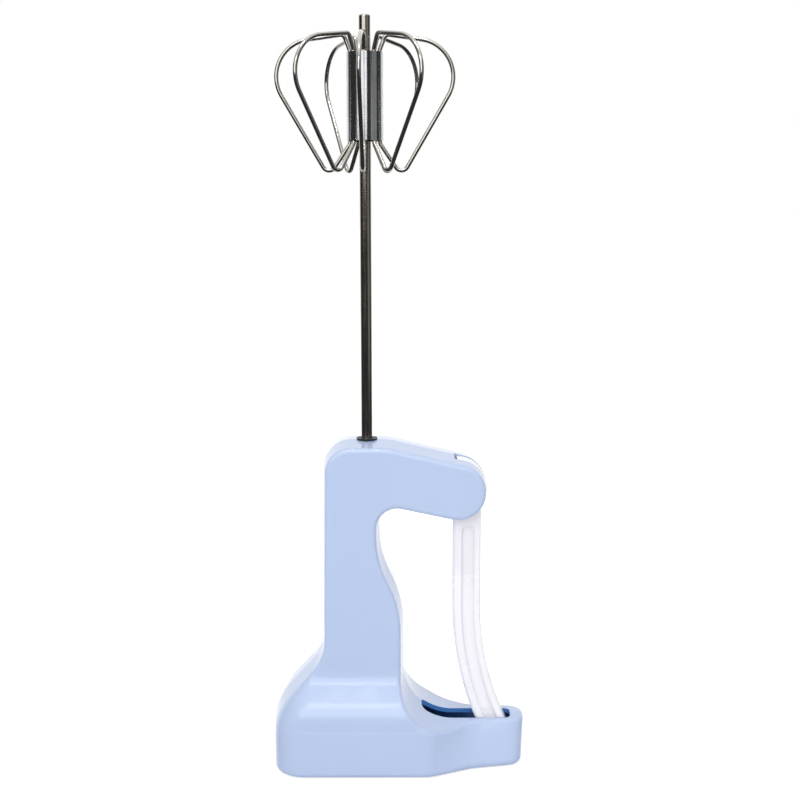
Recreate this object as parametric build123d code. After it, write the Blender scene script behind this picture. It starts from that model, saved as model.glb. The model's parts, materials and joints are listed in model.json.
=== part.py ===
"""Squeeze-lever hand whisk: a moulded handle that stands on its base, with a lever, a gear train and a wire whisk.

Millimetres. +Z is up along the whisk shaft, +X points to the lever, and the origin is on the shaft's axis
in the plane that the base rests on. Squeezing the lever swings its toothed foot under a pinion, whose
crown gear turns a small pinion on the whisk shaft.
"""
from build123d import *
import math
import os

# Handle, side view: column, sloping arm, round nose, grip arch (X, Z)
column_left = -20.2
column_top_left = -19.2
housing_top = 148.0
slope_start = 9.5
nose_end = 53.4
nose_top_corner = 137.6
nose_bottom_corner = 110.1
arch_left = 5.5
arch_corner = 120.4
swell_top = 95.6
swell_bottom = 75.4
column_right = 16.1
corner_radius = 12.5
slope_radius = 30.0
nose_radius = 13.3
arch_radius = 8.0
swell_radius = 46.0
neck_gap = 2.06
neck_upright = 6.0
neck_radius = 120.0

# Handle, depth and mould
column_half_depth = 16.0
draft_angle = 5.0
wall = 2.0
edge_radius = 2.0

# Base: a bell that flares from the column, and a tray that tapers to a round end
base_left = -42.9
base_half_depth = 26.0
side_shoulder = 16.0
side_shoulder_radius = 27.0
side_neck_drop = 2.0
side_neck_radius = 22.0
front_shoulder = 25.0
front_shoulder_radius = 13.0
front_neck = 46.0
front_neck_radius = 9.0
front_bell_steps = 5
side_bell_steps = 3
base_corner_radius = 14.0
least_corner_radius = 0.6
bell_end = 28.0
bell_end_radius = 10.0
tray_top = 20.8
tray_end = 71.0
tray_end_foot = 69.4
tray_start = 46.5
tray_root_half_depth = 18.6
tray_rim_half_depth = 9.0
tray_end_half_depth = 13.4
tray_end_rim_half_depth = 8.2
tray_blend_radius = 14.0
tray_end_radius = 7.5
saddle_radius = 22.5
saddle_end_radius = 1.0
foot_radius = 2.5

# Lever: round head on its pivot, straight grip, curved foot
pivot_x = 40.1
pivot_z = 126.8
lever_y = -1.6
lever_thickness = 9.0
lever_width = 12.4
lever_x = 44.4
lever_bend_z = 73.0
lever_bend_radius = 135.0
lever_edge_radius = 1.2
head_radius = 10.7
head_rim_radius = 13.0
head_rim_start = 91.0
head_rim_end = -50.0
head_edge_radius = 0.8
groove_x = 44.85
groove_width = 5.8
groove_depth = 1.5
groove_top = 110.0
groove_end_radius = 109.0
lug_radius = 1.2
lug_length = 2.4
lug_root = 1.0

# Slots that the lever passes through
slot_side_clearance = 0.6
slot_corner_radius = 3.0
slot_depth = 7.0
slot_neck_gap = 10.0
nose_slot_x = 38.7
nose_slot_low_x = 34.2
tray_slot_left = 24.3
tray_slot_right = 64.8

# Gear train
module = 1.0
ring_teeth = 227
drive_teeth = 10
crown_teeth = 30
shaft_teeth = 8
tooth_addendum = 0.8
tooth_dedendum = 1.1
tooth_root_overlap = 0.3
tooth_thickness = 1.2
pinion_flank = 14.0
rack_flank = 20.0
rack_back = 3.8
rack_teeth_before = 1
rack_teeth_after = 9
rack_margin = 0.9
rack_side_step = 0.5
crown_face = 3.0
crown_disc = 3.2
crown_tooth_thickness = 1.15
crown_flank = 16.0
hub_radius = 3.9
gear_side_clearance = 0.4
axle_radius = 1.5
axle_clearance = 0.05
axle_front = -14.0
axle_rear = 16.0

# Whisk shaft and its bearings
shaft_radius = 2.5
shaft_top = 329.8
shaft_tip_radius = 0.8
journal_radius = 1.8
journal_top = 47.0
running_clearance = 0.05
upper_bush_radius = 3.6
upper_bush_length = 9.5
upper_bush_flange_radius = 4.6
upper_bush_flange = 0.7
upper_boss_radius = 6.0
lower_bush_radius = 3.2
bracket_radius = 4.4
bracket_gap = 0.5
bracket_crown_gap = 1.5
clip_radius = 4.5
clip_groove = 0.5
clip_thickness = 0.8
clip_gap = 0.4
clip_mouth = 3.0

# Whisk head
shaft_tip_length = 15.6
sleeve_length = 36.6
sleeve_radius = 7.85
sleeve_wall = 0.5
hub_recess = 1.4
hub_gap = 0.15
wire_radius = 0.95
wire_clearance = 0.05
wire_end_gap = 1.0
wire_top_lead = 1.0
wire_bottom_lead = 1.0
loop_bearings = (358, 39, 90, 143, 178, 209, 270, 313)
loop_shoulder_r = 8.9
loop_shoulder_rise = 7.5
loop_outer_r = 47.2
loop_outer_rise = 2.2
loop_foot_r = 15.7
loop_foot_drop = 15.0
loop_shoulder_radius = 2.0
loop_outer_radius = 15.6
loop_foot_radius = 2.9
loop_entry_radius = 3.0

# Pivot pin, return spring and screws
pin_radius = 2.0
pin_half_length = 11.5
pin_clearance = 0.05
boss_wall = 2.4
spring_radius = 5.7
spring_wire = 0.5
spring_turns = 4.75
spring_gap = 0.8
spring_pitch = 1.3
spring_leg = 8.5
spring_touch_gap = 0.05
peg_radius = 1.2
peg_reach = 1.2
peg_back = 1.6
screw_places = ((-11.5, 135.5), (21.5, 130.5), (-11.5, 88.0), (-30.0, 12.0), (62.5, 6.0))
screw_shank = 1.25
screw_hole = 1.3
screw_head = 2.5
screw_head_height = 1.6
screw_head_clearance = 0.3
screw_cross_depth = 0.7
screw_cross_half = 0.4
screw_cross_radius = 1.55
screw_seat = 6.0
screw_tip = -8.0
screw_hole_end = -9.0
rear_boss_radius = 3.9
front_boss_radius = 3.0

# Small sizes that the operations need
touch = 0.001
cutter_reach = 20.0
wedge_steps = 6
wedge_reach = 1.05

# Worked out from the sizes above
swell_lean = math.atan2(column_right - arch_left, swell_top - swell_bottom)
neck_height = swell_bottom - swell_radius * math.tan(swell_lean / 2) - neck_gap
side_neck = neck_height - side_neck_drop
band_centre_x = lever_x + lever_bend_radius
rack_pitch_radius = ring_teeth * module / 2
drive_radius = drive_teeth * module / 2
crown_radius = crown_teeth * module / 2
shaft_gear_radius = shaft_teeth * module / 2
mesh_distance = rack_pitch_radius - drive_radius
axle_z = pivot_z - math.sqrt(mesh_distance ** 2 - pivot_x ** 2)
mesh_angle = math.degrees(math.atan2(axle_z - pivot_z, -pivot_x))
ring_step = 360.0 / ring_teeth
rack_root_radius = rack_pitch_radius + tooth_dedendum
rack_outer_radius = rack_root_radius + rack_back
lever_front = lever_y - lever_thickness / 2
lever_rear = lever_y + lever_thickness / 2
rack_rear = lever_rear - rack_side_step
crown_tip_y = shaft_gear_radius - tooth_addendum
crown_root_y = shaft_gear_radius + tooth_dedendum
crown_back_y = crown_root_y + crown_disc
crown_inner = crown_radius - crown_face / 2
crown_outer = crown_radius + crown_face / 2
bracket_bottom = axle_z + drive_radius + tooth_addendum + bracket_gap
bracket_top = axle_z + crown_inner - bracket_crown_gap
shaft_gear_bottom = axle_z + crown_inner - gear_side_clearance
shaft_gear_top = axle_z + crown_outer + gear_side_clearance
upper_bush_bottom = housing_top - upper_bush_length
clip_top = upper_bush_bottom - clip_gap
sleeve_top = shaft_top - shaft_tip_length
sleeve_bottom = sleeve_top - sleeve_length
sleeve_bore = sleeve_radius - sleeve_wall
wire_ring = sleeve_bore - wire_clearance - wire_radius
spring_start = lever_rear + spring_gap + spring_wire
deep = base_half_depth + cutter_reach


def shifted(points, radii, inset):
    """Corners and radii of a closed outline moved in by inset; its closing line stays where it is."""
    count = len(points)
    turn = sum(points[i - 1][0] * points[i][1] - points[i][0] * points[i - 1][1] for i in range(count))
    side = inset * math.copysign(1, turn)
    moved = []
    for i in range(count):
        (ax, az), (bx, bz), (cx, cz) = points[i - 1], points[i], points[(i + 1) % count]
        before = math.atan2(bz - az, bx - ax)
        after = math.atan2(cz - bz, cx - bx)
        shift_before = 0 if i == 0 else side
        shift_after = 0 if i == count - 1 else side
        sine = math.sin(after - before)
        x = (shift_before * math.cos(after) - shift_after * math.cos(before)) / sine
        z = (shift_before * math.sin(after) - shift_after * math.sin(before)) / sine
        moved.append((bx + x, bz + z, math.copysign(1, sine * turn)))
    rounds = [r - inset * moved[i + 1][2] for i, r in enumerate(radii)]
    return [(x, z) for x, z, bend in moved], rounds


def side_wire(points, radii, y):
    """A closed outline in the plane Y=y; radii round every corner but the first and the last."""
    corners = [Vector(x, y, z) for x, z in points]
    path = FilletPolyline(*corners, radius=radii)
    return Wire(list(path.edges()) + [Edge.make_line(corners[-1], corners[0])])


def drafted(points, radii, inset, depth, draft):
    """A solid from Y=0 to Y=-depth whose outline moves in from inset by the mould's draft."""
    lean = depth * math.tan(math.radians(draft))
    wires = [side_wire(*shifted(points, radii, inset), 0), side_wire(*shifted(points, radii, inset + lean), -depth)]
    return Solid.make_loft(wires, ruled=True)


def cylinder(radius, y_front, y_rear, x, z):
    """A cylinder along Y."""
    return Solid.make_cylinder(radius, y_rear - y_front, Plane(origin=(x, y_front, z), z_dir=(0, 1, 0)))


def upright(radius, z_low, z_high):
    """A cylinder round the whisk's axis."""
    return Solid.make_cylinder(radius, z_high - z_low, Plane(origin=(0, 0, z_low)))


def box(x_low, x_high, y_low, y_high, z_low, z_high):
    return Solid.make_box(x_high - x_low, y_high - y_low, z_high - z_low, Plane(origin=(x_low, y_low, z_low)))


def plate(points, y_front, y_rear):
    """A flat plate from a polygon in X and Z."""
    face = Face(Wire.make_polygon([Vector(x, y_front, z) for x, z in points], close=True))
    return Solid.extrude(face, Vector(0, y_rear - y_front, 0))


def from_pivot(radius, degrees):
    """A point (X, Z) at a distance and an angle from the lever's pivot; +X is 0 and +Z is 90."""
    angle = math.radians(degrees)
    return pivot_x + radius * math.cos(angle), pivot_z + radius * math.sin(angle)


def wedge(start, end, radius, y_front, y_rear):
    """A sector round the lever's pivot, wider than radius everywhere."""
    angles = [start + (end - start) * i / wedge_steps for i in range(wedge_steps + 1)]
    return plate([(pivot_x, pivot_z)] + [from_pivot(radius * wedge_reach, a) for a in angles], y_front, y_rear)


def tooth(pitch_at, outward, flank, thickness):
    """Corners of one straight-flanked tooth as (along the pitch line, across it), root first."""
    depth = tooth_dedendum + tooth_root_overlap
    root = pitch_at - outward * depth
    tip = pitch_at + outward * tooth_addendum
    slope = math.tan(math.radians(flank))
    root_half = thickness / 2 + depth * slope
    tip_half = thickness / 2 - tooth_addendum * slope
    return [(-root_half, root), (root_half, root), (tip_half, tip), (-tip_half, tip)]


def flare(z, foot, neck, shoulder_z, shoulder_r, neck_z, neck_r):
    """Width of a wall that goes from foot to neck by a convex arc, a straight and a concave arc."""
    height = neck_z - shoulder_z
    total = shoulder_r + neck_r
    spare = total - (foot - neck)
    lean = math.asin(total / math.hypot(height, spare)) - math.atan2(spare, height)
    convex_end = shoulder_z + shoulder_r * math.sin(lean)
    concave_start = neck_z - neck_r * math.sin(lean)
    if z <= shoulder_z:
        return foot
    if z >= neck_z:
        return neck
    if z < convex_end:
        return foot - shoulder_r * (1 - math.sqrt(1 - ((z - shoulder_z) / shoulder_r) ** 2))
    if z > concave_start:
        return neck + neck_r * (1 - math.sqrt(1 - ((neck_z - z) / neck_r) ** 2))
    return foot - shoulder_r * (1 - math.cos(lean)) - (z - convex_end) * math.tan(lean)


def base_section(z, inset):
    """Front half of the base's plan at one height, moved in by inset."""
    left = -flare(z, -base_left, -column_left, side_shoulder, side_shoulder_radius, side_neck, side_neck_radius)
    depth = flare(z, base_half_depth, column_half_depth, front_shoulder, front_shoulder_radius,
                  front_neck, front_neck_radius)
    spread = (depth - column_half_depth) / (base_half_depth - column_half_depth)
    corner = edge_radius + (base_corner_radius - edge_radius) * spread
    slant = depth * math.tan(math.radians(draft_angle))
    rise = min(z / tray_top, 1.0)
    tray_depth = tray_root_half_depth + (tray_rim_half_depth - tray_root_half_depth) * rise
    end_depth = tray_end_half_depth + (tray_end_rim_half_depth - tray_end_half_depth) * rise
    end = tray_end_foot + (tray_end - tray_end_foot) * rise - inset
    points = [
        (left + inset, 0),
        (left + slant + inset, inset - depth),
        (bell_end, inset - depth),
        (tray_start, inset - tray_depth),
        (end, inset - end_depth),
        (end, 0),
    ]
    corners = [Vector(x, y, z) for x, y in points]
    radii = [max(corner - inset, least_corner_radius), bell_end_radius, tray_blend_radius, tray_end_radius - inset]
    path = FilletPolyline(*corners, radius=radii)
    return Wire(list(path.edges()) + [Edge.make_line(corners[-1], corners[0])])


def base_block(bottom, inset):
    """The base's front half from bottom to the neck, before the grip is cut: straight walls, then the bell."""
    front_step = (front_neck - front_shoulder) / front_bell_steps
    side_step = (side_neck - front_neck) / side_bell_steps
    heights = [tray_top, front_shoulder]
    heights += [front_shoulder + front_step * (i + 1) for i in range(front_bell_steps)]
    heights += [front_neck + side_step * (i + 1) for i in range(side_bell_steps)]
    heights.append(neck_height)
    foot = Solid.make_loft([base_section(z, inset) for z in (bottom, side_shoulder, tray_top)], ruled=True)
    bell = Solid.make_loft([base_section(z, inset) for z in heights], ruled=False)
    return foot + bell


def grip_below(inset):
    """Open space right of the column, above the saddle and the tray, growing outwards by the mould's draft."""
    high = neck_height + cutter_reach
    far = tray_end + cutter_reach
    points = [(column_right, high), (column_right, tray_top), (far, tray_top), (far, high)]
    return drafted(points, [saddle_radius, saddle_end_radius], -inset, deep, -draft_angle)


def handle_half(inset, bottom, depth):
    """Column, arm and nose above the neck, moved in by inset."""
    points = [(column_left, bottom), (column_left, neck_height + neck_upright),
              (column_top_left, housing_top), (slope_start, housing_top),
              (nose_end, nose_top_corner), (nose_end, nose_bottom_corner), (arch_left, arch_corner),
              (arch_left, swell_top), (column_right, swell_bottom), (column_right, bottom)]
    radii = [neck_radius, corner_radius, slope_radius, nose_radius, nose_radius, arch_radius, swell_radius, swell_radius]
    return drafted(points, radii, inset, depth, draft_angle)


def outer_half():
    """The front half of the handle as a solid block."""
    handle = handle_half(0, neck_height, column_half_depth)
    front = handle.faces().sort_by(Axis.Y)[0]
    handle = fillet([e for e in front.edges() if e.center().Z > neck_height + edge_radius], edge_radius)
    grip = grip_below(0)
    base = base_block(0, 0) - grip
    rim = [e for e in base.edges() if grip.distance_to(e @ 0.5) < touch and max((e @ 0).Y, (e @ 1).Y) < -touch]
    base = fillet(rim, edge_radius)
    foot = [e for e in base.edges() if abs(e.center().Z) < touch and e.center().Y < -touch]
    base = fillet(foot, foot_radius)
    return handle + base


def inner_half():
    """The hollow inside the front half."""
    handle = handle_half(wall, neck_height - 2 * wall, column_half_depth - wall)
    return handle + (base_block(wall, wall) - grip_below(wall))


def slots():
    """The two openings that the lever passes through."""
    front = lever_front - slot_side_clearance
    rear = lever_rear + slot_side_clearance
    tray = box(tray_slot_left, tray_slot_right, front, rear, tray_top - slot_depth, neck_height - slot_neck_gap)
    tray = fillet(tray.edges().filter_by(Axis.Z), slot_corner_radius)
    far = nose_end + cutter_reach
    upper = box(nose_slot_x, far, front, rear, pivot_z, housing_top)
    lower = box(nose_slot_low_x, far, front, rear, swell_top, pivot_z)
    return tray + upper + lower


def housing_front(outer, inner):
    boss_end = lever_front - gear_side_clearance
    posts = [cylinder(pin_radius + boss_wall, -deep, boss_end, pivot_x, pivot_z),
             cylinder(axle_radius + boss_wall, -deep, boss_end, 0, axle_z)]
    posts += [cylinder(front_boss_radius, -deep, 0, x, z) for x, z in screw_places]
    posts.append(upright(upper_boss_radius, upper_bush_bottom, housing_top))
    posts.append(box(-bracket_radius, bracket_radius, -deep, 0, bracket_bottom, bracket_top))
    shell = outer - inner - slots()
    for post in posts:
        shell += post & outer
    shell += upright(bracket_radius, bracket_bottom, bracket_top)
    shell -= upright(lower_bush_radius, bracket_bottom, bracket_top)
    shell -= upright(upper_bush_radius, upper_bush_bottom, housing_top)
    shell -= cylinder(pin_radius, -pin_half_length, 0, pivot_x, pivot_z)
    shell -= cylinder(axle_radius, axle_front, 0, 0, axle_z)
    for x, z in screw_places:
        shell -= cylinder(screw_hole, screw_hole_end, 0, x, z)
    return shell


def housing_rear(outer, inner):
    posts = [cylinder(pin_radius + boss_wall, lever_rear + gear_side_clearance, deep, pivot_x, pivot_z),
             cylinder(axle_radius + boss_wall, crown_back_y + gear_side_clearance, deep, 0, axle_z),
             cylinder(peg_radius, spring_end_y() - peg_reach, deep, *peg_place())]
    posts += [cylinder(rear_boss_radius, 0, deep, x, z) for x, z in screw_places]
    posts.append(upright(upper_boss_radius, upper_bush_bottom, housing_top))
    shell = outer - inner - slots()
    for post in posts:
        shell += post & outer
    shell -= upright(upper_bush_radius, upper_bush_bottom, housing_top)
    shell -= cylinder(pin_radius, 0, pin_half_length, pivot_x, pivot_z)
    shell -= cylinder(axle_radius, 0, axle_rear, 0, axle_z)
    for x, z in screw_places:
        shell -= cylinder(screw_hole, 0, screw_seat, x, z)
        shell -= cylinder(screw_head + screw_head_clearance, screw_seat, deep, x, z)
    return shell


def housing_screws():
    screws = []
    for x, z in screw_places:
        head = cylinder(screw_head, screw_seat, screw_seat + screw_head_height, x, z)
        shank = cylinder(screw_shank, screw_tip, screw_seat, x, z)
        floor = screw_seat + screw_head_height - screw_cross_depth
        flat = box(x - screw_head, x + screw_head, floor, deep, z - screw_cross_half, z + screw_cross_half)
        upright_flat = box(x - screw_cross_half, x + screw_cross_half, floor, deep, z - screw_head, z + screw_head)
        recess = (flat + upright_flat) & cylinder(screw_cross_radius, screw_seat, deep, x, z)
        screws.append((head + shank - recess).solid())
    return Compound(screws)


def curved_band(half_width, y_front, y_rear):
    """The part of the lever's grip that curves away below lever_bend_z."""
    ring = cylinder(lever_bend_radius + half_width, y_front, y_rear, band_centre_x, lever_bend_z)
    ring -= cylinder(lever_bend_radius - half_width, y_front, y_rear, band_centre_x, lever_bend_z)
    return ring & box(lever_x - lever_width, band_centre_x, y_front, y_rear, 0, lever_bend_z)


def lever_grip():
    half = lever_width / 2
    grip = box(lever_x - half, lever_x + half, lever_front, lever_rear, lever_bend_z, pivot_z)
    grip += curved_band(half, lever_front, lever_rear)
    grip &= cylinder(rack_outer_radius, lever_front, lever_rear, pivot_x, pivot_z)
    long_edges = [e for e in grip.edges() if e.length > 2 * lever_width]
    return fillet(long_edges, lever_edge_radius)


def lever_head():
    head = cylinder(head_radius, lever_front, lever_rear, pivot_x, pivot_z)
    rim = cylinder(head_rim_radius, lever_front, lever_rear, pivot_x, pivot_z)
    rim &= wedge(head_rim_end, head_rim_start, head_rim_radius, lever_front, lever_rear)
    rim_edges = [e for e in rim.edges() if e.geom_type == GeomType.CIRCLE]
    return head + fillet(rim_edges, head_edge_radius)


def lever_grooves():
    half = groove_width / 2
    cuts = []
    for y_front, y_rear in ((lever_front, lever_front + groove_depth), (lever_rear - groove_depth, lever_rear)):
        cut = box(groove_x - half, groove_x + half, y_front, y_rear, lever_bend_z, groove_top - half)
        cut += cylinder(half, y_front, y_rear, groove_x, groove_top - half)
        cut += Pos(groove_x - lever_x, 0, 0) * curved_band(half, y_front, y_rear)
        cuts.append(cut & cylinder(groove_end_radius, y_front, y_rear, pivot_x, pivot_z))
    return cuts


def band_angle(radius):
    """Angle from the pivot at which the middle of the lever's curved band is radius away."""
    along = band_centre_x - pivot_x
    down = lever_bend_z - pivot_z
    distance = math.hypot(along, down)
    cosine = (radius ** 2 + distance ** 2 - lever_bend_radius ** 2) / (2 * radius * distance)
    return math.degrees(math.atan2(down, along) - math.acos(cosine))


def rack():
    """Curved bar round the lever's pivot with teeth on its inner side."""
    start = mesh_angle - rack_teeth_before * ring_step - rack_margin
    bar = cylinder(rack_outer_radius, lever_front, rack_rear, pivot_x, pivot_z)
    bar -= cylinder(rack_root_radius, lever_front, rack_rear, pivot_x, pivot_z)
    bar &= wedge(start, band_angle(rack_pitch_radius), rack_outer_radius, lever_front, rack_rear)
    for k in range(-rack_teeth_before, rack_teeth_after + 1):
        angle = mesh_angle + k * ring_step
        across = math.radians(angle + 90)
        corners = []
        for along, radius in tooth(rack_pitch_radius, -1, rack_flank, tooth_thickness):
            x, z = from_pivot(radius, angle)
            corners.append((x + along * math.cos(across), z + along * math.sin(across)))
        bar += plate(corners, lever_front, rack_rear)
    return bar


def lever():
    body = lever_grip() + lever_head()
    for cut in lever_grooves():
        body -= cut
    body += rack()
    lug_x, lug_z = lug_place()
    body += cylinder(lug_radius, lever_rear - lug_root, lever_rear + lug_length, lug_x, lug_z)
    return body - cylinder(pin_radius + pin_clearance, lever_front, lever_rear, pivot_x, pivot_z)


def pinion(teeth, y_front, y_rear, x, z, first_gap):
    """A spur pinion along Y; first_gap is the angle of a space between two teeth."""
    radius = teeth * module / 2
    gear = cylinder(radius - tooth_dedendum, y_front, y_rear, x, z)
    for k in range(teeth):
        angle = math.radians(first_gap + (k + 0.5) * 360 / teeth)
        corners = []
        for along, out in tooth(radius, 1, pinion_flank, tooth_thickness):
            corners.append((x + out * math.cos(angle) - along * math.sin(angle),
                            z + out * math.sin(angle) + along * math.cos(angle)))
        gear += plate(corners, y_front, y_rear)
    return gear


def crown_gear():
    gear = pinion(drive_teeth, lever_front, rack_rear, 0, axle_z, mesh_angle)
    gear += cylinder(hub_radius, rack_rear, crown_root_y, 0, axle_z)
    gear += cylinder(crown_outer, crown_root_y, crown_back_y, 0, axle_z)
    profile = tooth(crown_root_y - tooth_dedendum, -1, crown_flank, crown_tooth_thickness)
    face = Face(Wire.make_polygon([Vector(x, y, axle_z + crown_inner) for x, y in profile], close=True))
    upper_tooth = Solid.extrude(face, Vector(0, 0, crown_face))
    axis = Axis((0, 0, axle_z), (0, 1, 0))
    gear += [upper_tooth.rotate(axis, k * 360 / crown_teeth) for k in range(crown_teeth)]
    return gear - cylinder(axle_radius + axle_clearance, lever_front, crown_back_y, 0, axle_z)


def shaft_pinion():
    flat = pinion(shaft_teeth, shaft_gear_bottom, shaft_gear_top, 0, 0, -90)
    gear = flat.rotate(Axis.X, 90)
    return gear - upright(journal_radius, shaft_gear_bottom, shaft_gear_top)


def whisk_shaft():
    shaft = upright(shaft_radius, journal_top, shaft_top)
    tip = shaft.faces().sort_by(Axis.Z)[-1]
    shaft = fillet(tip.edges(), shaft_tip_radius)
    shaft += upright(journal_radius, bracket_bottom, journal_top)
    groove = upright(clip_radius, clip_top - clip_thickness, clip_top)
    return shaft - (groove - upright(shaft_radius - clip_groove, clip_top - clip_thickness, clip_top))


def shaft_clip():
    clip = upright(clip_radius, clip_top - clip_thickness, clip_top)
    clip -= upright(shaft_radius - clip_groove, clip_top - clip_thickness, clip_top)
    return clip - box(0, 2 * clip_radius, -clip_mouth / 2, clip_mouth / 2, clip_top - clip_thickness, clip_top)


def upper_bush():
    bush = upright(upper_bush_radius, upper_bush_bottom, housing_top)
    bush += upright(upper_bush_flange_radius, housing_top, housing_top + upper_bush_flange)
    return bush - upright(shaft_radius + running_clearance, upper_bush_bottom, housing_top + upper_bush_flange)


def lower_bush():
    bush = upright(lower_bush_radius, bracket_bottom, bracket_top)
    return bush - upright(journal_radius + running_clearance, bracket_bottom, bracket_top)


def whisk_sleeve():
    return upright(sleeve_radius, sleeve_bottom, sleeve_top) - upright(sleeve_bore, sleeve_bottom, sleeve_top)


def whisk_hub():
    low = sleeve_bottom + hub_recess
    high = sleeve_top - hub_recess
    hub = upright(sleeve_bore - hub_gap, low, high) - upright(shaft_radius, low, high)
    for bearing in loop_bearings:
        angle = math.radians(bearing)
        spot = (wire_ring * math.sin(angle), -wire_ring * math.cos(angle), low)
        hub -= Solid.make_cylinder(wire_radius + wire_clearance, high - low, Plane(origin=spot))
    return hub


def whisk_loop(bearing):
    """One wire bent into a loop in an upright plane that holds the shaft's axis."""
    middle = (sleeve_top + sleeve_bottom) / 2
    corners = [(wire_ring, middle + wire_end_gap), (wire_ring, sleeve_top + wire_top_lead),
               (loop_shoulder_r, sleeve_top + loop_shoulder_rise), (loop_outer_r, sleeve_top + loop_outer_rise),
               (loop_foot_r, sleeve_bottom - loop_foot_drop),
               (wire_ring, sleeve_bottom - wire_bottom_lead), (wire_ring, middle - wire_end_gap)]
    radii = [loop_entry_radius, loop_shoulder_radius, loop_outer_radius, loop_foot_radius, loop_entry_radius]
    path = FilletPolyline(*[Vector(r, 0, z) for r, z in corners], radius=radii)
    section = Plane(origin=path @ 0, z_dir=path % 0) * Circle(wire_radius)
    return sweep(section, path).rotate(Axis.Z, bearing - 90)


def spring_end_y():
    return spring_start + spring_turns * spring_pitch


def lug_place():
    """Centre (X, Z) of the lug on the lever, at the right of the spring's lower leg."""
    x = pivot_x - spring_radius + spring_wire + spring_touch_gap + lug_radius
    return x, pivot_z - spring_leg + lug_radius


def peg_place():
    """Centre (X, Z) of the peg in the housing, above the spring's left leg."""
    z = pivot_z - spring_radius + spring_wire + spring_touch_gap + peg_radius
    return pivot_x - spring_leg + peg_back, z


def return_spring():
    """A wound spring round the rear pivot boss, with one straight leg at each end."""
    height = spring_turns * spring_pitch
    rise = math.atan2(spring_pitch, 2 * math.pi * spring_radius)
    turn = 2 * math.pi * spring_turns
    start = Vector(spring_radius, 0, 0)
    end = Vector(spring_radius * math.cos(turn), spring_radius * math.sin(turn), height)
    first = Vector(0, math.cos(rise), math.sin(rise))
    last = Vector(-math.sin(turn) * math.cos(rise), math.cos(turn) * math.cos(rise), math.sin(rise))
    coil = Edge.make_helix(spring_pitch, height, spring_radius)
    path = Wire([Edge.make_line(start - first * spring_leg, start), coil, Edge.make_line(end, end + last * spring_leg)])
    section = Plane(origin=start - first * spring_leg, z_dir=first) * Circle(spring_wire)
    spring = sweep(section, path)
    return Plane(origin=(pivot_x, spring_start, pivot_z), x_dir=(-1, 0, 0), z_dir=(0, 1, 0)) * spring


def main():
    outer = outer_half()
    inner = inner_half()
    nodes = {
        "housing_front": housing_front(outer, inner),
        "housing_rear": housing_rear(outer.mirror(Plane.XZ), inner.mirror(Plane.XZ)),
        "housing_screws": housing_screws(),
        "lever": lever(),
        "lever_pivot_pin": cylinder(pin_radius, -pin_half_length, pin_half_length, pivot_x, pivot_z),
        "return_spring": return_spring(),
        "crown_gear": crown_gear(),
        "gear_axle": cylinder(axle_radius, axle_front, axle_rear, 0, axle_z),
        "shaft_pinion": shaft_pinion(),
        "whisk_shaft": whisk_shaft(),
        "shaft_clip": shaft_clip(),
        "upper_bush": upper_bush(),
        "lower_bush": lower_bush(),
        "whisk_hub": whisk_hub(),
        "whisk_sleeve": whisk_sleeve(),
    }
    for number, bearing in enumerate(loop_bearings, start=1):
        nodes[f"whisk_loop_{number}"] = whisk_loop(bearing)
    os.makedirs("parts", exist_ok=True)
    for name, shape in nodes.items():
        export_step(shape, f"parts/{name}.step")
        print(name, len(shape.solids()), round(shape.volume, 1))


main()
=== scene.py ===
"""Looks of the squeeze-lever hand whisk: moulded plastic, drawn and polished steel, a plain white studio."""
import json
import math

import bpy
from mathutils import Matrix, Vector

MM = 0.001

# Camera, fitted to the photograph: the image is taken as 800 x 800
camera_place = (14.7 * MM, -540 * MM, 251 * MM)
camera_down = 9.0
camera_roll = -0.10
focal_pixels = 1238
image_pixels = 800
sensor_width = 36.0
nearest_seen = 10 * MM

# Painted shade: a deeper blue goes on the walls inside the base and in its slot
# Walls inside the hollow base lie below this height and face the plane where the halves meet, at Y = 0:
# on them a point's Y times its normal's Y is below the limit
hollow_top = 31 * MM
facing_limit = -0.2 * MM

# Most of a noise pattern's values lie in this band, and a roughness is spread over it
noise_band = {"From Min": 0.35, "From Max": 0.65}

# The Mix node's sockets for colours go by number, because its sockets for plain values have the same names
mix_first = 6
mix_second = 7
mix_result = 2

# Floor: reach to each side in metres, gap under the object, and light added where the camera sees it
floor_reach = 12.0
floor_gap = 0.2 * MM
floor_lift = 0.45
paper_white = "#F4F4F4"
pure_white = "#FFFFFF"

# Surroundings: the even light on the object, and the room that its reflections show. That room is dark on
# the camera's side and brightens behind the object and overhead, between two values of a direction's Y and Z
sky_light = 0.69
room_dark_level = 0.045
room_dark_top = 0.0
room_bright = 1.2
behind_starts = 0.4
behind_full = 0.7
above_starts = 0.3
above_full = 0.8

# Lamps in metres and watts: place, point aimed at, size across and down, power
lamps = {
    "overhead": ((-0.05, -0.42, 1.25), (0, 0, 0.1), (0.6, 0.06), 4.0),
    "key": ((-0.1, -0.95, 0.9), (0, 0, 0.05), (0.7, 0.12), 1.2),
    "panel": ((-0.4, -1.3, 0.71), (0, 0, 0.3), (1.7, 0.75), 7.2),
    "side_fill": ((1.0, -0.6, 0.4), (0, 0, 0.25), (0.9, 0.8), 0.6),
}

# Moulded plastic: flow marks in its colour, scuffs in its gloss, orange peel and the mould's grain in its
# surface. The real grain is finer, and is drawn as coarse as it needs to be to show
flow_size = 45 * MM
flow_stretch = (1, 1, 2.5)
scuff_size = 12 * MM
scuff_smoothest = 0.94
scuff_roughest = 1.08
peel_size = 2.2 * MM
peel_depth = 0.06 * MM
peel_strength = 0.35
mould_grain_size = 0.35 * MM
mould_grain_depth = 0.01 * MM
mould_grain_strength = 0.25
plastic_ior = 1.5

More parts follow.
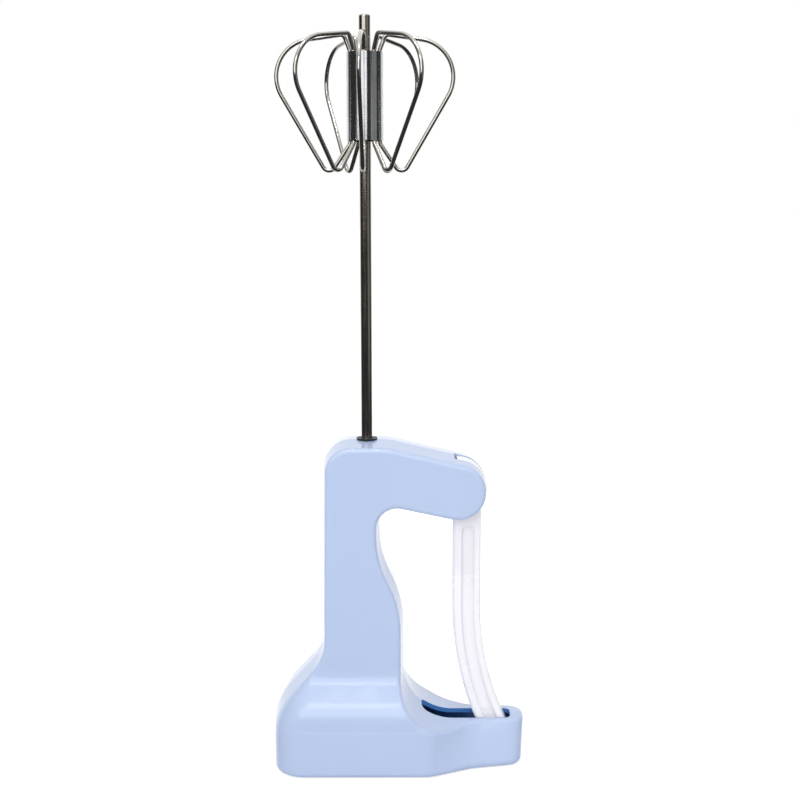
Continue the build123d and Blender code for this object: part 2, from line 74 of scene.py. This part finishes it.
# Bare metal: stains in its colour, and a grain that its roughness follows. Real drawing and polishing lines
# lie some hundredths of a millimetre apart, and are drawn coarser to show
stain_size = 9 * MM
stain_high = 0.72
grain_smoothest = 0.7
grain_roughest = 1.4
grain_strength = 0.5

# How far a metal's grain is drawn out along X, Y and Z
along_shaft = (1, 1, 40)
round_axis = (12, 12, 1)
even = (1, 1, 1)

# Nylon of the bushes
mottle_size = 1.5 * MM
mottle_depth = 0.03 * MM
mottle_strength = 0.4
nylon_roughness = 0.5

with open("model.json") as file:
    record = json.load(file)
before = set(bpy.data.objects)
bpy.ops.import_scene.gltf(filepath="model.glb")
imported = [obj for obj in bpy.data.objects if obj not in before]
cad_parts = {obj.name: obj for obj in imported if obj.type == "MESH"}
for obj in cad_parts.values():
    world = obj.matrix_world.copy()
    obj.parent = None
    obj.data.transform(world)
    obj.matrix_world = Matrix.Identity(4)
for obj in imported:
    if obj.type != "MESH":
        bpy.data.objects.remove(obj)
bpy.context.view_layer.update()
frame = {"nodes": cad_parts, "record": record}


def linear(hex_colour):
    """An sRGB colour such as "#B9CBEB" as the linear values that a shader takes."""
    values = [int(hex_colour[i:i + 2], 16) / 255 for i in (1, 3, 5)]
    return [v / 12.92 if v <= 0.04045 else ((v + 0.055) / 1.055) ** 2.4 for v in values] + [1.0]


def add(tree, kind, settings=None, inputs=None):
    """A node with its settings and its inputs, by name or number: each a value, or a socket to link."""
    node = tree.nodes.new(kind)
    for name, value in (settings or {}).items():
        setattr(node, name, value)
    for name, value in (inputs or {}).items():
        if isinstance(value, bpy.types.NodeSocket):
            tree.links.new(value, node.inputs[name])
        else:
            node.inputs[name].default_value = value
    return node


def new_material(name):
    """An empty material, its nodes, and the place on the object that its patterns follow."""
    material = bpy.data.materials.new(name)
    material.use_nodes = True
    tree = material.node_tree
    tree.nodes.clear()
    return material, tree, add(tree, "ShaderNodeTexCoord").outputs["Object"]


def marks(tree, place, size, detail, stretch=even):
    """Irregular marks about size metres across, drawn out along each axis by stretch."""
    drawn = add(tree, "ShaderNodeMapping", inputs={"Vector": place, "Scale": [1 / s for s in stretch]})
    pattern = add(tree, "ShaderNodeTexNoise",
                  inputs={"Vector": drawn.outputs["Vector"], "Scale": 1 / size, "Detail": detail})
    return pattern.outputs["Fac"]


def two_tones(tree, pattern, tones, low=0.30, high=0.70):
    """The first tone where the pattern is low and the second where it is high."""
    ramp = add(tree, "ShaderNodeValToRGB", inputs={"Fac": pattern})
    for element, position, tone in zip(ramp.color_ramp.elements, (low, high), tones):
        element.position = position
        element.color = linear(tone)
    return ramp.outputs["Color"]


def inside_base_shade_mask(tree, place):
    """1 on the walls inside the hollow base and in its slot, where a deeper blue is painted as shade, 0 on
    the outside.
    """
    y, z = add(tree, "ShaderNodeSeparateXYZ", inputs={"Vector": place}).outputs[1:]
    normal = add(tree, "ShaderNodeNewGeometry").outputs["True Normal"]
    normal_y = add(tree, "ShaderNodeSeparateXYZ", inputs={"Vector": normal}).outputs["Y"]
    facing = add(tree, "ShaderNodeMath", {"operation": "MULTIPLY"}, {0: y, 1: normal_y}).outputs[0]
    inward = add(tree, "ShaderNodeMath", {"operation": "LESS_THAN"}, {0: facing, 1: facing_limit}).outputs[0]
    low = add(tree, "ShaderNodeMath", {"operation": "LESS_THAN"}, {0: z, 1: hollow_top}).outputs[0]
    return add(tree, "ShaderNodeMath", {"operation": "MULTIPLY"}, {0: inward, 1: low}).outputs[0]


def moulded_plastic(name, tones, roughness, specular, slot_shade_colour=None):
    """Plastic from a smooth mould: an even colour and a clear gloss, both with slight marks."""
    material, tree, place = new_material(name)
    flow = marks(tree, place, flow_size, detail=2.0, stretch=flow_stretch)
    skin = two_tones(tree, flow, tones)
    scuffs = marks(tree, place, scuff_size, detail=6.0)
    gloss = add(tree, "ShaderNodeMapRange", inputs={
        **noise_band, "Value": scuffs,
        "To Min": roughness * scuff_smoothest, "To Max": roughness * scuff_roughest})
    peel = marks(tree, place, peel_size, detail=2.0)
    grain = marks(tree, place, mould_grain_size, detail=2.0)
    peeled = add(tree, "ShaderNodeBump", inputs={
        "Height": peel, "Distance": peel_depth, "Strength": peel_strength})
    relief = add(tree, "ShaderNodeBump", inputs={
        "Height": grain, "Distance": mould_grain_depth, "Strength": mould_grain_strength,
        "Normal": peeled.outputs["Normal"]})
    # Painted shade: a deeper blue on the walls inside the base and in its slot
    if slot_shade_colour:
        mix = add(tree, "ShaderNodeMix", {"data_type": "RGBA"}, {
            "Factor": inside_base_shade_mask(tree, place), mix_first: skin, mix_second: linear(slot_shade_colour)})
        skin = mix.outputs[mix_result]
    shader = add(tree, "ShaderNodeBsdfPrincipled", inputs={
        "IOR": plastic_ior, "Specular IOR Level": specular, "Base Color": skin,
        "Roughness": gloss.outputs["Result"], "Normal": relief.outputs["Normal"]})
    add(tree, "ShaderNodeOutputMaterial", inputs={"Surface": shader.outputs["BSDF"]})
    return material


def bare_metal(name, tones, roughness, stretch, grain_size, grain_depth):
    """Bare metal, with slight staining and a drawn, turned or polished grain."""
    material, tree, place = new_material(name)
    stain = marks(tree, place, stain_size, detail=4.0)
    grain = marks(tree, place, grain_size, detail=3.0, stretch=stretch)
    gloss = add(tree, "ShaderNodeMapRange", inputs={
        **noise_band, "Value": grain,
        "To Min": roughness * grain_smoothest, "To Max": roughness * grain_roughest})
    relief = add(tree, "ShaderNodeBump", inputs={
        "Height": grain, "Distance": grain_depth, "Strength": grain_strength})
    shader = add(tree, "ShaderNodeBsdfPrincipled", inputs={
        "Metallic": 1.0, "Base Color": two_tones(tree, stain, tones, high=stain_high),
        "Roughness": gloss.outputs["Result"], "Normal": relief.outputs["Normal"]})
    add(tree, "ShaderNodeOutputMaterial", inputs={"Surface": shader.outputs["BSDF"]})
    return material


def dark_nylon(name, tones):
    """Moulded nylon: nearly black, matt and slightly mottled."""
    material, tree, place = new_material(name)
    mottle = marks(tree, place, mottle_size, detail=4.0)
    relief = add(tree, "ShaderNodeBump", inputs={
        "Height": mottle, "Distance": mottle_depth, "Strength": mottle_strength})
    shader = add(tree, "ShaderNodeBsdfPrincipled", inputs={
        "Roughness": nylon_roughness, "Base Color": two_tones(tree, mottle, tones),
        "Normal": relief.outputs["Normal"]})
    add(tree, "ShaderNodeOutputMaterial", inputs={"Surface": shader.outputs["BSDF"]})
    return material


def finishes():
    """One material for each of the record's material slots."""
    return {
        # ABS from a polished mould: one even pale blue with a clear gloss, and a deeper blue painted in the
        # slot as shade
        "housing_plastic": moulded_plastic("abs_pale_blue", ("#AFBEDC", "#B1C0DE"), roughness=0.14,
                                           specular=0.5, slot_shade_colour="#4A80C4"),
        # White ABS: near white, with a softer gloss that lets the grip's grooves show
        "lever_plastic": moulded_plastic("abs_white", ("#E9E8EE", "#ECEBF0"), roughness=0.26,
                                         specular=0.5),
        # Undyed acetal: milky, with a waxy sheen
        "gear_plastic": moulded_plastic("acetal_natural", ("#DEDCD2", "#E6E4DA"), roughness=0.42,
                                        specular=0.4),
        # Nylon: nearly black and matt, so the bush reads as a dark ring under the shaft
        "bush_plastic": dark_nylon("nylon_dark", ("#17191E", "#262930")),
        # Drawn stainless rod: fine lines along it, and long streaks of light and dark
        "shaft_steel": bare_metal("stainless_drawn", ("#A39D96", "#B4AEA6"), roughness=0.16,
                                  stretch=along_shaft, grain_size=0.6 * MM, grain_depth=0.005 * MM),
        # Polished stainless wire: bright edges and a dark middle
        "wire_steel": bare_metal("stainless_wire_polished", ("#B4B1AB", "#C8C5BF"), roughness=0.12,
                                 stretch=even, grain_size=0.8 * MM, grain_depth=0.002 * MM),
        # Polished stainless tube: broad bands of light and dark, with marks that run round it
        "sleeve_steel": bare_metal("stainless_tube_polished", ("#B0B2B4", "#C6C8CA"), roughness=0.12,
                                   stretch=round_axis, grain_size=0.7 * MM, grain_depth=0.003 * MM),
        # Turned aluminium: pale, with tool marks round it
        "hub_steel": bare_metal("aluminium_turned", ("#9C9C9C", "#B4B4B3"), roughness=0.3,
                                stretch=round_axis, grain_size=0.5 * MM, grain_depth=0.02 * MM),
        # Ground steel pins: plain grey with a soft shine
        "pin_steel": bare_metal("steel_ground", ("#8F8F90", "#A8A8A9"), roughness=0.25,
                                stretch=even, grain_size=0.6 * MM, grain_depth=0.01 * MM),
        # Oiled spring wire: dark grey
        "spring_steel": bare_metal("spring_steel_oiled", ("#5E5F62", "#7A7B7E"), roughness=0.3,
                                   stretch=even, grain_size=0.8 * MM, grain_depth=0.01 * MM),
        # Zinc plate on the screws: pale and faintly cool
        "screw_steel": bare_metal("steel_zinc_plated", ("#A9A9AC", "#C0C0C4"), roughness=0.28,
                                  stretch=even, grain_size=0.8 * MM, grain_depth=0.01 * MM),
    }


def dress():
    """Give every CAD node its material."""
    looks = finishes()
    slots = {part["node"]: part["material_slot"] for part in frame["record"]["subparts"]}
    for name, obj in frame["nodes"].items():
        for slot in obj.material_slots:
            slot.material = looks[slots[name]]


def add_camera():
    """The photograph's camera: level but for its roll, and tilted down."""
    data = bpy.data.cameras.new("camera")
    data.sensor_width = sensor_width
    data.lens = focal_pixels / image_pixels * sensor_width
    data.clip_start = nearest_seen
    camera = bpy.data.objects.new("camera", data)
    tilt = Matrix.Rotation(math.radians(90 - camera_down), 4, "X")
    roll = Matrix.Rotation(math.radians(camera_roll), 4, "Z")
    camera.matrix_world = Matrix.Translation(camera_place) @ tilt @ roll
    bpy.context.scene.collection.objects.link(camera)
    bpy.context.scene.camera = camera


def add_lamp(name, place, target, size, watts):
    """A white rectangular lamp, aimed at a point."""
    data = bpy.data.lights.new(name, "AREA")
    data.shape = "RECTANGLE"
    data.size, data.size_y = size
    data.energy = watts
    lamp = bpy.data.objects.new(name, data)
    aim = (Vector(target) - Vector(place)).to_track_quat("-Z", "Y").to_matrix().to_4x4()
    lamp.matrix_world = Matrix.Translation(place) @ aim
    bpy.context.scene.collection.objects.link(lamp)


def add_floor():
    """White paper that keeps the object's soft shadow, and that reflections pass through to the room.

    Where the camera sees it, it is lifted to the background's white.
    """
    mesh = bpy.data.meshes.new("floor")
    sides = ((-1, -1), (1, -1), (1, 1), (-1, 1))
    corners = [(x * floor_reach, y * floor_reach, -floor_gap) for x, y in sides]
    mesh.from_pydata(corners, [], [(0, 1, 2, 3)])
    floor = bpy.data.objects.new("floor", mesh)
    bpy.context.scene.collection.objects.link(floor)
    material, tree, _ = new_material("studio_paper")
    path = add(tree, "ShaderNodeLightPath")
    lift = add(tree, "ShaderNodeMath", {"operation": "MULTIPLY"},
               {0: path.outputs["Is Camera Ray"], 1: floor_lift})
    paper = add(tree, "ShaderNodeBsdfDiffuse", inputs={"Color": linear(paper_white)})
    glow = add(tree, "ShaderNodeEmission", inputs={"Color": linear(pure_white), "Strength": lift.outputs[0]})
    lit_paper = add(tree, "ShaderNodeAddShader", inputs={0: paper.outputs[0], 1: glow.outputs[0]})
    clear = add(tree, "ShaderNodeBsdfTransparent")
    surface = add(tree, "ShaderNodeMixShader", inputs={
        0: path.outputs["Is Glossy Ray"], 1: lit_paper.outputs[0], 2: clear.outputs[0]})
    add(tree, "ShaderNodeOutputMaterial", inputs={"Surface": surface.outputs[0]})
    mesh.materials.append(material)


def add_world():
    """White to the camera, even light on the object, and a room in its reflections."""
    world = bpy.data.worlds.new("studio")
    bpy.context.scene.world = world
    world.use_nodes = True
    tree = world.node_tree
    tree.nodes.clear()
    direction = add(tree, "ShaderNodeTexCoord").outputs["Generated"]
    y, z = add(tree, "ShaderNodeSeparateXYZ", inputs={"Vector": direction}).outputs[1:]
    behind = add(tree, "ShaderNodeMapRange", inputs={
        "Value": y, "From Min": behind_starts, "From Max": behind_full,
        "To Min": room_dark_level, "To Max": room_bright})
    above = add(tree, "ShaderNodeMapRange", inputs={
        "Value": z, "From Min": above_starts, "From Max": above_full,
        "To Min": room_dark_top, "To Max": room_bright})
    brighter = add(tree, "ShaderNodeMath", {"operation": "MAXIMUM"},
                   {0: behind.outputs["Result"], 1: above.outputs["Result"]})
    white = linear(pure_white)
    sky = add(tree, "ShaderNodeBackground", inputs={"Color": white, "Strength": sky_light})
    room = add(tree, "ShaderNodeBackground", inputs={"Color": white, "Strength": brighter.outputs[0]})
    backdrop = add(tree, "ShaderNodeBackground", inputs={"Color": white, "Strength": 1.0})
    path = add(tree, "ShaderNodeLightPath")
    lit = add(tree, "ShaderNodeMixShader", inputs={
        0: path.outputs["Is Glossy Ray"], 1: sky.outputs[0], 2: room.outputs[0]})
    seen = add(tree, "ShaderNodeMixShader", inputs={
        0: path.outputs["Is Camera Ray"], 1: lit.outputs[0], 2: backdrop.outputs[0]})
    add(tree, "ShaderNodeOutputWorld", inputs={"Surface": seen.outputs[0]})


add_camera()
dress()
add_floor()
add_world()
for lamp_name, lamp_values in lamps.items():
    add_lamp(lamp_name, *lamp_values)
bpy.context.scene.view_settings.view_transform = "Standard"
